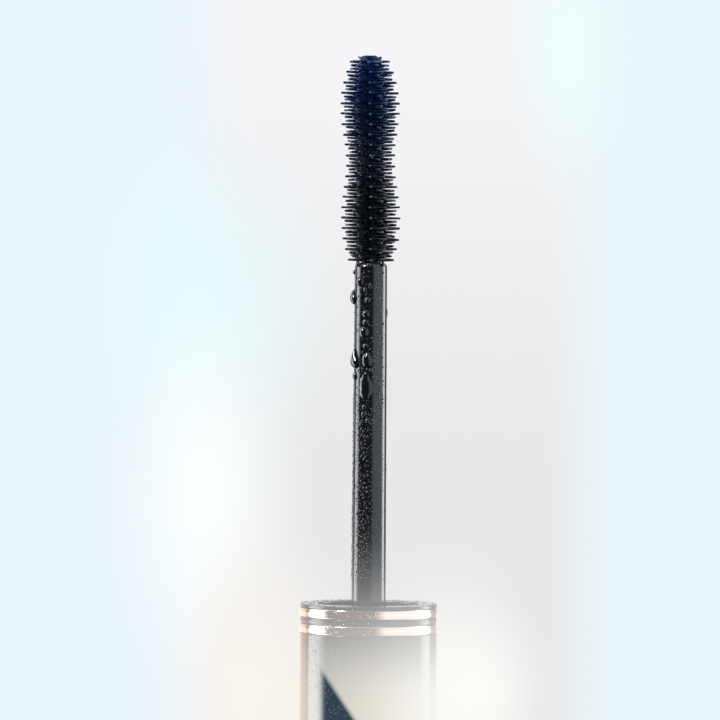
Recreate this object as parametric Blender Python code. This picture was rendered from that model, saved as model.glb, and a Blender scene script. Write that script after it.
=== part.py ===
"""A mascara tube at rest: the cap stands on its closed end, wand up, with the bottle drawn off above it.

World axes: +Z is the axis of every round piece, and z = 0 is the face the cap stands on. Sizes are in
millimetres and become metres where a mesh is made.
"""

import math

import bpy

MM = 0.001

# How finely round pieces are cut into flats. Nested pieces share the count so that their flats line up.
SEGMENTS = 40
SHARP_ANGLE = math.radians(30)

# Fits
SLIP = 0.1
SEAT = 0.05
EDGE = 0.25
FINE_EDGE = 0.1

# Cap
CAP_RADIUS = 9.0
CAP_LENGTH = 46.0
SHELL_WALL = 1.0
CAP_END_WALL = 1.6
FOOT_RADIUS = 7.0
FOOT_DEPTH = 0.3
CORNER_RADIUS = 0.6
CORNER_STEPS = 3
FLANGE_THICKNESS = 0.5
WEIGHT_LENGTH = 10.0

# Trim bands, stacked below the flange of the inner cap
BAND_HEIGHT = 1.2
BAND_SPACE = 0.9
BAND_THICKNESS = 0.35
SPACER_SET_BACK = 0.04
BAND_STACK = 2 * BAND_HEIGHT + BAND_SPACE

# Inner cap
RIM_BORE_RADIUS = 6.65
RECESS_DEPTH = 15.2
RECESS_FLOOR = 1.5
SKIRT_WALL = 1.0
SOCKET_DEPTH = 10.8
SOCKET_WALL = 1.3
SOCKET_END = 1.5
LINER_THICKNESS = 0.45
LINER_INNER_RADIUS = 3.6
LINER_OUTER_RADIUS = 6.4

# Stem
STEM_BASE_RADIUS = 2.26
STEM_TIP_RADIUS = 2.12
STEM_REACH = 44.7
STEM_SHOULDER = 0.45
COLLAR_RADIUS = 3.4
COLLAR_HEIGHT = 1.3
COLLAR_FILLET = 0.4
SPIGOT_RADIUS = 0.9
SPIGOT_LENGTH = 6.0

# Brush: ring k of bristles stands at BRUSH_FIRST_ROW + k * ROW_PITCH / RINGS_PER_ROW above the stem
BRUSH_LENGTH = 27.1
BRUSH_FIRST_ROW = 0.45
ROW_PITCH = 1.366
ROWS = 20
RINGS_PER_ROW = 4
COLUMNS = 16
BRISTLES_PER_RING = 4
RING_OFFSETS = (0, 2, 1, -1)
CORE_RADIUS = 1.3
CORE_TIP_RADIUS = 0.9
BRISTLE_TIP_WIDTH = 0.22
BRISTLE_TIP_HEIGHT = 0.2
BRISTLE_LIFT = 0.06

# Outline of the bristle tips: share of the brush length from the stem, radius
OUTLINE_BASE = (0.0, 3.05)
OUTLINE_LOW_BELLY = (0.21, 3.9)
OUTLINE_WAIST = (0.5, 3.2)
OUTLINE_HIGH_BELLY = (0.765, 3.91)
OUTLINE_TIP = (1.0, 2.62)

# Threads: one right-hand start. ENGAGED_TURNS unscrew the bottle.
THREAD_PITCH = 3.0
ENGAGED_TURNS = 1.5
THREAD_RISE = THREAD_PITCH * ENGAGED_TURNS
THREAD_ROOT_WIDTH = 1.0
THREAD_CREST_WIDTH = 0.5
THREAD_SINK = 0.3
CAP_THREAD_TURNS = 1.0
CAP_THREAD_CREST_RADIUS = 6.1
CAP_THREAD_START = CAP_LENGTH - 9.0
NECK_THREAD_TURNS = 1.5
NECK_THREAD_CREST_RADIUS = 6.4
NECK_THREAD_LEAD = 0.3
THREAD_FADE_STEPS = 3
THREAD_END_SHARE = 0.4

# Bottle, in the closed position: its shoulder is SHOULDER_GAP above the rim of the cap
SHOULDER_GAP = 0.3
NECK_LENGTH = 14.0
NECK_RADIUS = 5.85
NECK_BORE_RADIUS = 4.85
NECK_LAND_LENGTH = 2.0
COLLAR_RING_THICKNESS = 1.2
BOTTLE_SLEEVE_LENGTH = 74.7
VIAL_RADIUS = 7.8
VIAL_WALL = 1.0
VIAL_END_WALL = 1.2
VIAL_CLEARANCE_TO_BRUSH = 0.6
PLUG_FLANGE = 1.0
PLUG_SKIRT_LENGTH = 2.2
PLUG_SKIRT_WALL = 0.9

# Wiper
WIPER_FLANGE_RADIUS = 5.8
WIPER_FLANGE = 0.75
WIPER_RADIUS = 4.75
WIPER_BORE_RADIUS = 4.15
WIPER_LENGTH = 9.0
LIP_ROOT_HEIGHT = 0.6
LIP_LENGTH = 2.4
LIP_ORIFICE_RADIUS = 2.4
LIP_THICKNESS = 0.3

# Formula
FORMULA_INNER_RADIUS = 4.3
FORMULA_OUTER_RADIUS = 6.5
FORMULA_ROOM = 0.3

# Travel of the bottle from the closed position to rest
DRAW_TRAVEL = 91.5
REST_RAISE = DRAW_TRAVEL + THREAD_RISE
REST_TURN = 2 * math.pi * ENGAGED_TURNS

# Derived heights
STEM_TOP = CAP_LENGTH + STEM_REACH
BRUSH_TIP = STEM_TOP + BRUSH_LENGTH
RECESS_Z = CAP_LENGTH - RECESS_DEPTH
SHOULDER_Z = CAP_LENGTH + SHOULDER_GAP
MOUTH_Z = SHOULDER_Z - NECK_LENGTH
SLEEVE_Z = SHOULDER_Z + COLLAR_RING_THICKNESS + SEAT
SLEEVE_TOP = SLEEVE_Z + BOTTLE_SLEEVE_LENGTH
VIAL_FLOOR = BRUSH_TIP + VIAL_CLEARANCE_TO_BRUSH
VIAL_INNER_SHOULDER = SLEEVE_Z + VIAL_WALL


def clear_scene():
    """Removes whatever the startup scene holds."""
    for obj in list(bpy.data.objects):
        bpy.data.objects.remove(obj, do_unlink=True)


def material(name, color, roughness, metallic=0.0, transmission=0.0):
    """A Principled material with one plain colour."""
    made = bpy.data.materials.new(name)
    made.use_nodes = True
    shader = made.node_tree.nodes["Principled BSDF"]
    shader.inputs["Base Color"].default_value = (*color, 1.0)
    shader.inputs["Roughness"].default_value = roughness
    shader.inputs["Metallic"].default_value = metallic
    shader.inputs["Transmission Weight"].default_value = transmission
    made.diffuse_color = (*color, 1.0)
    return made


def mesh_object(name, points, faces, surface):
    """One named object from points in millimetres and faces."""
    mesh = bpy.data.meshes.new(name)
    mesh.from_pydata([(x * MM, y * MM, z * MM) for x, y, z in points], [], faces)
    mesh.materials.append(surface)
    for polygon in mesh.polygons:
        polygon.use_smooth = True
    mesh.set_sharp_from_angle(angle=SHARP_ANGLE)
    obj = bpy.data.objects.new(name, mesh)
    bpy.context.scene.collection.objects.link(obj)
    return obj


def around(radius, z):
    """Points of one circle about the Z axis."""
    angles = [2 * math.pi * i / SEGMENTS for i in range(SEGMENTS)]
    return [(radius * math.cos(angle), radius * math.sin(angle), z) for angle in angles]


def turned(name, profile, surface, raise_by=0.0):
    """A solid of revolution. The profile is (radius, z) and runs up the outer side.

    A profile with both ends on the axis is a solid, any other is closed on itself into a ring.
    """
    points = []
    rings = []
    for radius, z in profile:
        first = len(points)
        if radius == 0:
            points.append((0, 0, z + raise_by))
            rings.append([first] * SEGMENTS)
        else:
            points.extend(around(radius, z + raise_by))
            rings.append(list(range(first, first + SEGMENTS)))
    if profile[0][0] > 0:
        rings.append(rings[0])
    faces = []
    for low, high in zip(rings, rings[1:]):
        for i in range(SEGMENTS):
            j = (i + 1) % SEGMENTS
            corners = (low[i], low[j], high[j], high[i])
            faces.append(tuple(dict.fromkeys(corners)))
    return mesh_object(name, points, faces, surface)


def rounded_corner(radius, z, size, rising=True):
    """Profile points of a quarter-round outer corner, from below it to above it."""
    centre_z = z + size if rising else z - size
    points = []
    for step in range(CORNER_STEPS + 1):
        angle = math.pi / 2 * step / CORNER_STEPS
        if rising:
            points.append((radius - size + size * math.sin(angle), centre_z - size * math.cos(angle)))
        else:
            points.append((radius - size + size * math.cos(angle), centre_z + size * math.sin(angle)))
    return points


def add_thread(wall, root_radius, crest_radius, start_z, start_angle, turns):
    """Joins a helical ridge with a trapezoid section to a wall as one solid. It fades at both ends."""
    outward = 1 if crest_radius > root_radius else -1
    sunk_radius = root_radius - outward * THREAD_SINK
    height = crest_radius - sunk_radius
    steps = round(turns * SEGMENTS)
    points = []
    for step in range(steps + 1):
        angle = start_angle + 2 * math.pi * step / SEGMENTS
        z = start_z + THREAD_PITCH * step / SEGMENTS
        full = min(1.0, step / THREAD_FADE_STEPS, (steps - step) / THREAD_FADE_STEPS)
        crest = sunk_radius + height * (THREAD_END_SHARE + (1 - THREAD_END_SHARE) * full)
        section = (
            (sunk_radius, z - THREAD_ROOT_WIDTH / 2),
            (crest, z - THREAD_CREST_WIDTH / 2),
            (crest, z + THREAD_CREST_WIDTH / 2),
            (sunk_radius, z + THREAD_ROOT_WIDTH / 2),
        )
        points.extend((r * math.cos(angle), r * math.sin(angle), level) for r, level in section)
    faces = []
    for step in range(steps):
        here = 4 * step
        for side in range(4):
            next_side = (side + 1) % 4
            faces.append((here + side, here + 4 + side, here + 4 + next_side, here + next_side))
    faces.append((0, 1, 2, 3))
    last = 4 * steps
    faces.append((last + 3, last + 2, last + 1, last))
    if outward < 0:
        faces = [tuple(reversed(face)) for face in faces]
    ridge = mesh_object(wall.name + "_thread", points, faces, wall.data.materials[0])
    ridge.hide_render = True
    ridge.display_type = "WIRE"
    union = wall.modifiers.new("thread", "BOOLEAN")
    union.operation = "UNION"
    union.solver = "EXACT"
    union.object = ridge


def cap_shell(surface):
    """Outer shell: a cup with a step near the rim that the trim bands slide onto."""
    step_z = CAP_LENGTH - FLANGE_THICKNESS - BAND_STACK - SEAT
    top = CAP_LENGTH - FLANGE_THICKNESS - SEAT
    step_radius = CAP_RADIUS - BAND_THICKNESS - SEAT
    inner = CAP_RADIUS - SHELL_WALL
    profile = [
        (0, FOOT_DEPTH),
        (FOOT_RADIUS - FOOT_DEPTH, FOOT_DEPTH),
        (FOOT_RADIUS, 0),
        *rounded_corner(CAP_RADIUS, 0, CORNER_RADIUS),
        (CAP_RADIUS, step_z - FINE_EDGE),
        (CAP_RADIUS - FINE_EDGE, step_z),
        (step_radius, step_z),
        (step_radius, top),
        (inner, top),
        (inner, CAP_END_WALL),
        (0, CAP_END_WALL),
    ]
    turned("cap_shell", profile, surface)


def cap_weight(surface):
    """Steel slug in the closed end."""
    radius = CAP_RADIUS - SHELL_WALL - SLIP
    low = CAP_END_WALL + SEAT
    high = low + WEIGHT_LENGTH
    profile = [
        (0, low),
        (radius - EDGE, low),
        (radius, low + EDGE),
        (radius, high - EDGE),
        (radius - EDGE, high),
        (0, high),
    ]
    turned("cap_weight", profile, surface)


def band(name, top, surface, set_back=0.0, height=BAND_HEIGHT):
    """A trim ring with softened outer edges."""
    inner = CAP_RADIUS - BAND_THICKNESS
    outer = CAP_RADIUS - set_back
    low = top - height + SEAT
    profile = [
        (inner, low),
        (outer - FINE_EDGE, low),
        (outer, low + FINE_EDGE),
        (outer, top - FINE_EDGE),
        (outer - FINE_EDGE, top),
        (inner, top),
    ]
    turned(name, profile, surface)


def inner_cap(surface):
    """Threaded insert. Its flange is the rim of the cap, and its socket holds the stem."""
    outer = CAP_RADIUS - SHELL_WALL - SLIP
    skirt_inner = outer - SKIRT_WALL
    socket = STEM_BASE_RADIUS + SLIP
    boss = socket + SOCKET_WALL
    socket_floor = RECESS_Z - SOCKET_DEPTH
    boss_bottom = socket_floor - SOCKET_END
    under_floor = RECESS_Z - RECESS_FLOOR
    skirt_bottom = CAP_END_WALL + SEAT + WEIGHT_LENGTH + SEAT
    flange_low = CAP_LENGTH - FLANGE_THICKNESS
    profile = [
        (0, boss_bottom),
        (boss, boss_bottom),
        (boss, under_floor),
        (skirt_inner, under_floor),
        (skirt_inner, skirt_bottom),
        (outer, skirt_bottom),
        (outer, flange_low),
        (CAP_RADIUS - FINE_EDGE, flange_low),
        (CAP_RADIUS, flange_low + FINE_EDGE),
        (CAP_RADIUS, CAP_LENGTH - FINE_EDGE),
        (CAP_RADIUS - FINE_EDGE, CAP_LENGTH),
        (RIM_BORE_RADIUS + FINE_EDGE, CAP_LENGTH),
        (RIM_BORE_RADIUS, CAP_LENGTH - FINE_EDGE),
        (RIM_BORE_RADIUS, RECESS_Z),
        (socket, RECESS_Z),
        (socket, socket_floor),
        (0, socket_floor),
    ]
    body = turned("inner_cap", profile, surface)
    add_thread(body, RIM_BORE_RADIUS, CAP_THREAD_CREST_RADIUS, CAP_THREAD_START, 0.0, CAP_THREAD_TURNS)


def cap_liner(surface):
    """Soft washer on the floor of the recess."""
    low = RECESS_Z + SEAT
    high = low + LINER_THICKNESS
    profile = [
        (LINER_INNER_RADIUS, low),
        (LINER_OUTER_RADIUS, low),
        (LINER_OUTER_RADIUS, high),
        (LINER_INNER_RADIUS, high),
    ]
    turned("cap_liner", profile, surface)


def stem(surface):
    """Rod with a collar on the recess floor and a blind hole in its end for the brush."""
    low = RECESS_Z - SOCKET_DEPTH + SEAT
    collar_low = RECESS_Z + SEAT
    collar_high = collar_low + COLLAR_HEIGHT
    hole = SPIGOT_RADIUS + SEAT
    hole_floor = STEM_TOP - SPIGOT_LENGTH - SEAT
    shoulder = rounded_corner(STEM_TIP_RADIUS, STEM_TOP, STEM_SHOULDER, rising=False)
    profile = [
        (0, low),
        (STEM_BASE_RADIUS - EDGE, low),
        (STEM_BASE_RADIUS, low + EDGE),
        (STEM_BASE_RADIUS, collar_low),
        (COLLAR_RADIUS, collar_low),
        (COLLAR_RADIUS, collar_high - EDGE),
        (COLLAR_RADIUS - EDGE, collar_high),
        (STEM_BASE_RADIUS + COLLAR_FILLET, collar_high),
        (STEM_BASE_RADIUS, collar_high + COLLAR_FILLET),
        (STEM_BASE_RADIUS, CAP_LENGTH),
        *shoulder,
        (hole, STEM_TOP),
        (hole, hole_floor),
        (0, hole_floor),
    ]
    turned("stem", profile, surface)


def bristle_reach(share):
    """Radius of the bristle tips at a share of the way along the bristled length."""
    low, high = OUTLINE_LOW_BELLY, OUTLINE_HIGH_BELLY
    if share < low[0]:
        out = (low[0] - share) / (low[0] - OUTLINE_BASE[0])
        return low[1] + (OUTLINE_BASE[1] - low[1]) * out**2
    if share > high[0]:
        out = (share - high[0]) / (OUTLINE_TIP[0] - high[0])
        return high[1] + (OUTLINE_TIP[1] - high[1]) * out**2
    belly = low if share < OUTLINE_WAIST[0] else high
    towards_belly = (share - OUTLINE_WAIST[0]) / (belly[0] - OUTLINE_WAIST[0])
    rise = (1 - math.cos(math.pi * towards_belly)) / 2
    return OUTLINE_WAIST[1] + (belly[1] - OUTLINE_WAIST[1]) * rise


def bristle_columns(ring):
    """Columns of the core's grid that carry a bristle in this ring."""
    offset = RING_OFFSETS[ring % RINGS_PER_ROW]
    step = COLUMNS // BRISTLES_PER_RING
    return {(offset + step * i) % COLUMNS for i in range(BRISTLES_PER_RING)}


def brush(surface):
    """Moulded brush: a core cut into a grid of cells, some of them drawn out into tapered bristles."""
    rings = (ROWS - 1) * RINGS_PER_ROW + 1
    cell = ROW_PITCH / RINGS_PER_ROW
    first = STEM_TOP + BRUSH_FIRST_ROW - cell / 2
    outline = [
        (SPIGOT_RADIUS, STEM_TOP - SPIGOT_LENGTH),
        (SPIGOT_RADIUS, STEM_TOP + SEAT),
        (CORE_RADIUS, STEM_TOP + SEAT),
    ]
    grid_first = len(outline)
    outline.extend((CORE_RADIUS, first + cell * i) for i in range(rings + 1))
    outline.append((CORE_TIP_RADIUS, BRUSH_TIP))
    points = [(0, 0, STEM_TOP - SPIGOT_LENGTH)]
    circles = []
    for radius, z in outline:
        circles.append(len(points))
        points.extend(cell_corner_circle(radius, z))
    top = len(points)
    points.append((0, 0, BRUSH_TIP))

    faces = [(0, circles[0] + (i + 1) % COLUMNS, circles[0] + i) for i in range(COLUMNS)]
    for index, (low, high) in enumerate(zip(circles, circles[1:])):
        ring = index - grid_first
        carriers = bristle_columns(ring) if 0 <= ring < rings else set()
        for column in range(COLUMNS):
            following = (column + 1) % COLUMNS
            cell_corners = (low + column, low + following, high + following, high + column)
            if column in carriers:
                angle = 2 * math.pi * column / COLUMNS
                reach = bristle_reach(ring / (rings - 1))
                tips = add_bristle_tip(points, angle, reach, first + cell * (ring + 0.5))
                faces.extend(bristle_sides(cell_corners, tips))
            else:
                faces.append(cell_corners)
    faces.extend((top, circles[-1] + i, circles[-1] + (i + 1) % COLUMNS) for i in range(COLUMNS))
    mesh_object("brush", points, faces, surface)


def cell_corner_circle(radius, z):
    """One circle of the brush's grid. Column i lies between corners i and i + 1, about angle i / COLUMNS."""
    angles = [2 * math.pi * (i - 0.5) / COLUMNS for i in range(COLUMNS)]
    return [(radius * math.cos(angle), radius * math.sin(angle), z) for angle in angles]


def add_bristle_tip(points, angle, reach, z):
    """Adds the four corners of a bristle's blunt end, in the order of its cell's corners."""
    start = len(points)
    half_width = BRISTLE_TIP_WIDTH / 2
    half_height = BRISTLE_TIP_HEIGHT / 2
    for side, rise in ((-1, -1), (1, -1), (1, 1), (-1, 1)):
        across = side * half_width
        x = reach * math.cos(angle) - across * math.sin(angle)
        y = reach * math.sin(angle) + across * math.cos(angle)
        points.append((x, y, z + BRISTLE_LIFT + rise * half_height))
    return tuple(range(start, start + 4))


def bristle_sides(base, tip):
    """The four sides and the end of one bristle."""
    faces = [(base[i], base[(i + 1) % 4], tip[(i + 1) % 4], tip[i]) for i in range(4)]
    faces.append(tip)
    return faces


def vial(surface):
    """Inner container with the neck and its thread."""
    land = NECK_THREAD_CREST_RADIUS
    land_low = SHOULDER_Z - NECK_LAND_LENGTH
    inner = VIAL_RADIUS - VIAL_WALL
    outer_end = VIAL_FLOOR + VIAL_END_WALL
    profile = [
        (0, VIAL_FLOOR),
        (inner, VIAL_FLOOR),
        (inner, VIAL_INNER_SHOULDER + inner - NECK_BORE_RADIUS),
        (NECK_BORE_RADIUS, VIAL_INNER_SHOULDER),
        (NECK_BORE_RADIUS, MOUTH_Z),
        (NECK_RADIUS - EDGE, MOUTH_Z),
        (NECK_RADIUS, MOUTH_Z + EDGE),
        (NECK_RADIUS, land_low),
        (land, land_low),
        (land, SLEEVE_Z),
        (VIAL_RADIUS - EDGE, SLEEVE_Z),
        (VIAL_RADIUS, SLEEVE_Z + EDGE),
        (VIAL_RADIUS, outer_end - EDGE),
        (VIAL_RADIUS - EDGE, outer_end),
        (0, outer_end),
    ]
    body = turned("vial", profile, surface, REST_RAISE)
    # When closed, this ridge runs half a pitch away from the one in the cap.
    start_z = CAP_THREAD_START - NECK_THREAD_LEAD + REST_RAISE
    closed_angle = -2 * math.pi * (NECK_THREAD_LEAD + THREAD_PITCH / 2) / THREAD_PITCH
    start_angle = closed_angle + REST_TURN
    add_thread(body, NECK_RADIUS, NECK_THREAD_CREST_RADIUS, start_z, start_angle, NECK_THREAD_TURNS)


def bottle_collar(surface):
    """Trim ring on the shoulder, round the foot of the neck."""
    inner = NECK_THREAD_CREST_RADIUS + SLIP
    high = SHOULDER_Z + COLLAR_RING_THICKNESS
    profile = [
        (inner, SHOULDER_Z),
        (CAP_RADIUS - FINE_EDGE, SHOULDER_Z),
        (CAP_RADIUS, SHOULDER_Z + FINE_EDGE),
        (CAP_RADIUS, high - FINE_EDGE),
        (CAP_RADIUS - FINE_EDGE, high),
        (inner, high),
    ]
    turned("bottle_collar", profile, surface, REST_RAISE)


def bottle_shell(surface):
    """Outer sleeve of the bottle, open at both ends."""
    inner = CAP_RADIUS - SHELL_WALL
    profile = [
        (inner, SLEEVE_Z),
        (CAP_RADIUS - FINE_EDGE, SLEEVE_Z),
        (CAP_RADIUS, SLEEVE_Z + FINE_EDGE),
        (CAP_RADIUS, SLEEVE_TOP - FINE_EDGE),
        (CAP_RADIUS - FINE_EDGE, SLEEVE_TOP),
        (inner, SLEEVE_TOP),
    ]
    turned("bottle_shell", profile, surface, REST_RAISE)


def base_plug(surface):
    """End piece of the bottle: a flange over the sleeve's end and a skirt inside it."""
    skirt_outer = CAP_RADIUS - SHELL_WALL - SLIP
    skirt_inner = skirt_outer - PLUG_SKIRT_WALL
    flange_low = SLEEVE_TOP + SEAT
    flange_high = flange_low + PLUG_FLANGE
    corner = rounded_corner(CAP_RADIUS, flange_high, CORNER_RADIUS, rising=False)
    profile = [
        (0, flange_low),
        (skirt_inner, flange_low),
        (skirt_inner, flange_low - PLUG_SKIRT_LENGTH),
        (skirt_outer, flange_low - PLUG_SKIRT_LENGTH),
        (skirt_outer, flange_low),
        (CAP_RADIUS, flange_low),
        *corner,
        (0, flange_high),
    ]
    turned("base_plug", profile, surface, REST_RAISE)


def wiper_insert(surface):
    """Sleeve pushed into the neck, with a flange on the mouth."""
    flange_high = MOUTH_Z - SEAT
    flange_low = flange_high - WIPER_FLANGE
    profile = [
        (WIPER_BORE_RADIUS + EDGE, flange_low),
        (WIPER_FLANGE_RADIUS, flange_low),
        (WIPER_FLANGE_RADIUS, flange_high),
        (WIPER_RADIUS, flange_high),
        (WIPER_RADIUS, flange_high + WIPER_LENGTH),
        (WIPER_BORE_RADIUS, flange_high + WIPER_LENGTH),
        (WIPER_BORE_RADIUS, flange_low + EDGE),
    ]
    turned("wiper_insert", profile, surface, REST_RAISE)


def wiper_lip(surface):
    """Soft cone at the inner end of the wiper."""
    low = MOUTH_Z + WIPER_LENGTH
    high = low + LIP_LENGTH
    profile = [
        (WIPER_BORE_RADIUS, low),
        (WIPER_RADIUS, low),
        (WIPER_RADIUS, low + LIP_ROOT_HEIGHT),
        (LIP_ORIFICE_RADIUS + LIP_THICKNESS, high),
        (LIP_ORIFICE_RADIUS, high),
    ]
    turned("wiper_lip", profile, surface, REST_RAISE)


def formula(surface):
    """The product, a thick film on the wall of the vial with the wand's channel through it."""
    low = VIAL_INNER_SHOULDER + VIAL_RADIUS - VIAL_WALL - NECK_BORE_RADIUS + FORMULA_ROOM + REST_RAISE
    high = VIAL_FLOOR - THREAD_RISE - FORMULA_ROOM + REST_RAISE
    profile = [
        (FORMULA_INNER_RADIUS, low),
        (FORMULA_OUTER_RADIUS, low),
        (FORMULA_OUTER_RADIUS, high),
        (FORMULA_INNER_RADIUS, high),
    ]
    turned("formula", profile, surface)


def build_cap():
    """Cap, its trim and its lining."""
    black = material("cap_black_gloss", (0.012, 0.012, 0.014), 0.12)
    rim_black = material("rim_black", (0.02, 0.02, 0.022), 0.25)
    spacer_black = material("spacer_black", (0.015, 0.015, 0.017), 0.2)
    upper_gold = material("upper_band_rose_gold", (0.86, 0.62, 0.5), 0.1, metallic=1.0)
    lower_gold = material("lower_band_rose_gold", (0.86, 0.62, 0.5), 0.1, metallic=1.0)
    steel = material("weight_steel", (0.55, 0.55, 0.56), 0.4, metallic=1.0)
    foam = material("liner_foam", (0.85, 0.85, 0.83), 0.8)
    cap_shell(black)
    cap_weight(steel)
    inner_cap(rim_black)
    top = CAP_LENGTH - FLANGE_THICKNESS - SEAT
    band("band_upper", top, upper_gold)
    band("band_spacer", top - BAND_HEIGHT, spacer_black, SPACER_SET_BACK, BAND_SPACE)
    band("band_lower", top - BAND_HEIGHT - BAND_SPACE, lower_gold)
    cap_liner(foam)


def build_wand():
    """Stem and brush."""
    stem_black = material("stem_black_gloss", (0.01, 0.01, 0.012), 0.15)
    brush_black = material("brush_elastomer", (0.012, 0.013, 0.02), 0.45)
    stem(stem_black)
    brush(brush_black)


def build_bottle():
    """Bottle, its wiper and what it holds."""
    shell_black = material("bottle_black_gloss", (0.012, 0.012, 0.014), 0.12)
    plug_black = material("plug_black_gloss", (0.012, 0.012, 0.014), 0.15)
    clear = material("vial_clear", (0.85, 0.87, 0.9), 0.08, transmission=0.9)
    gold = material("collar_rose_gold", (0.86, 0.62, 0.5), 0.1, metallic=1.0)
    natural = material("wiper_natural", (0.8, 0.8, 0.78), 0.4)
    soft = material("lip_soft", (0.7, 0.7, 0.68), 0.6)
    paste = material("formula_black", (0.008, 0.008, 0.01), 0.3)
    vial(clear)
    bottle_collar(gold)
    bottle_shell(shell_black)
    base_plug(plug_black)
    wiper_insert(natural)
    wiper_lip(soft)
    formula(paste)


def main():
    clear_scene()
    build_cap()
    build_wand()
    build_bottle()


main()
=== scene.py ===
"""Looks of the mascara tube: turned plastic and metal, a brush of round bristles, water beads, studio light.

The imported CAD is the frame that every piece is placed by. Sizes are in millimetres and become metres where a
mesh is made. Directions round the object are degrees from the camera's side (-Y), positive towards +X.
"""

import random
from math import cos, exp, pi, radians, sin, sqrt, tan

import bpy
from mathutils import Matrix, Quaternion, Vector, noise


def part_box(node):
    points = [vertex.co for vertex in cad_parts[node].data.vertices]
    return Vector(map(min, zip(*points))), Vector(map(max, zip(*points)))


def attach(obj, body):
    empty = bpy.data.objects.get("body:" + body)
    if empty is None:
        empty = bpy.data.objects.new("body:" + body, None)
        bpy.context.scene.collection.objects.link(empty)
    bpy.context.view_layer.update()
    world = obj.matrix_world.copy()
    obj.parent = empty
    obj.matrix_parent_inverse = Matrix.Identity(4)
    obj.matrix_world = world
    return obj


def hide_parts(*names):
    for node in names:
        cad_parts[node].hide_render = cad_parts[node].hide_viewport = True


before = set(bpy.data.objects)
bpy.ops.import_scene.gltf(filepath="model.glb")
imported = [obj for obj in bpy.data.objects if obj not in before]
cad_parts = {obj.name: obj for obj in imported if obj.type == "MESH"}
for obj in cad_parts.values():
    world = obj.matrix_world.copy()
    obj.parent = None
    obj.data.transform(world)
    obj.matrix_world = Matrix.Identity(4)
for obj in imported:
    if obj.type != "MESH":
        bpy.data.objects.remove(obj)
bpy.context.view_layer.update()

MM = 0.001

# How finely shapes are cut
SEGMENTS = 144
CORNER_STEPS = 6
CAP_THREAD_ROWS = 56
NECK_THREAD_ROWS = 98
FORMULA_ROWS = 60
CORE_ROWS_PER_RING = 6

# Softness of edges
SOFT = 0.25
CRISP = 0.12
HAIR = 0.05

# Cap, below its rim
RIM_BORE = 6.65
RECESS_DEPTH = 15.2
RECESS_FLOOR = 1.5
SKIRT_WALL = 1.0
SOCKET_WALL = 1.4
SHELL_WALL = 1.0
END_WALL = 1.6
FOOT_RADIUS = 7.0
FOOT_DEPTH = 0.3
END_ROUNDING = 1.1
BAND_SEAT_DEPTH = 0.4
BAND_CROWN = 0.03
LINER_WIDTH = 2.8
LINER_DENT = 0.08
LINER_DENT_SLOPE = 0.1

# Threads
THREAD_PITCH = 3.0
THREAD_HALF_ROOT = 0.5
THREAD_HALF_CREST = 0.2
THREAD_FADE = 0.12
THREAD_MARGIN = 1.0
CAP_THREAD_TURNS = 1.0
CAP_THREAD_HEIGHT = 0.55
CAP_THREAD_DEPTH = 9.0
NECK_THREAD_TURNS = 1.5
NECK_THREAD_LEAD = 4.45
NECK_THREAD_START = radians(324)

# Stem
STEM_BASE_RADIUS = 2.26
STEM_TIP_RADIUS = 2.12
STEM_SHOULDER = 0.45
STEM_TIP_ROUNDING = 0.72
COLLAR_FILLET = 0.4
COLLAR_HEIGHT = 1.3

# Brush
ROWS = 20
RINGS_PER_ROW = 3
RING_PITCH = 1.363 / RINGS_PER_ROW
FIRST_RING = 0.33
QUARTERS = (0, 90, 180, 270)
# In each ring of a row: the headings of the long bristles in a quarter turn, and how far they reach
LONG_HEADINGS = ((0, 33), (-28, 38), (24, -37))
LONG_REACH = (1.0, 0.97, 0.96)
LONG_SLACK = 0.07
# The short bristles stand half a ring higher
SHORT_HEADINGS = (56, -38, 45)
SHORT_REACH = 0.8
SHORT_SLACK = 0.6
BRUSH_LEAN = -0.36
NAVY_START = 19.0
NAVY_FULL = 1.0
CORE_RADIUS = 1.3
CORE_LEAD = 0.2
CORE_TAPER = 0.75
CORE_TIP_RADIUS = 0.95
CORE_TIP_ROUNDING = 0.3
CORE_GROOVE = 0.05
CORE_LUMPS = 0.03
BRISTLE_RADIUS = 0.24
BRISTLE_TIP_RADIUS = 0.155
BRISTLE_TAPER = 1.5
BRISTLE_FOOT = 0.1
BRISTLE_FOOT_SHARE = 0.07
BRISTLE_ROUND_END = 0.06
BRISTLE_ROOT = 0.12
BRISTLE_LIFT = 0.06
BRISTLE_SIDES = 10
BRISTLE_SHARES = (0.0, 0.04, 0.1, 0.2, 0.4, 0.6, 0.8, 0.94, 0.965, 0.985, 0.996)
# How bristles differ: heading in degrees, tip and middle aside and up, and the range of their thickness
HEADING_SCATTER = 1.2
TIP_SCATTER = (0.05, 0.045)
SAG_SCATTER = (0.025, 0.02)
THICKNESS = (0.82, 1.05)
# Bristles on the tip of the brush
CROWN_BRISTLES = 9
CROWN_START = 0.35
CROWN_ROOT = 0.2
CROWN_ROOT_DEPTH = 0.42
CROWN_REACH = (1.5, 2.0)
CROWN_TIP_DEPTH = (0.02, 0.3)
CROWN_SAG = -0.06
CROWN_THICKNESS = 0.55
# Radius of the bristle tips at shares of the bristled length
OUTLINE_BASE = (0.0, 3.1)
OUTLINE_LOW_BELLY = (0.21, 3.97)
OUTLINE_WAIST = (0.5, 3.27)
OUTLINE_HIGH_BELLY = (0.765, 3.97)
OUTLINE_TIP = (1.0, 2.68)

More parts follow.
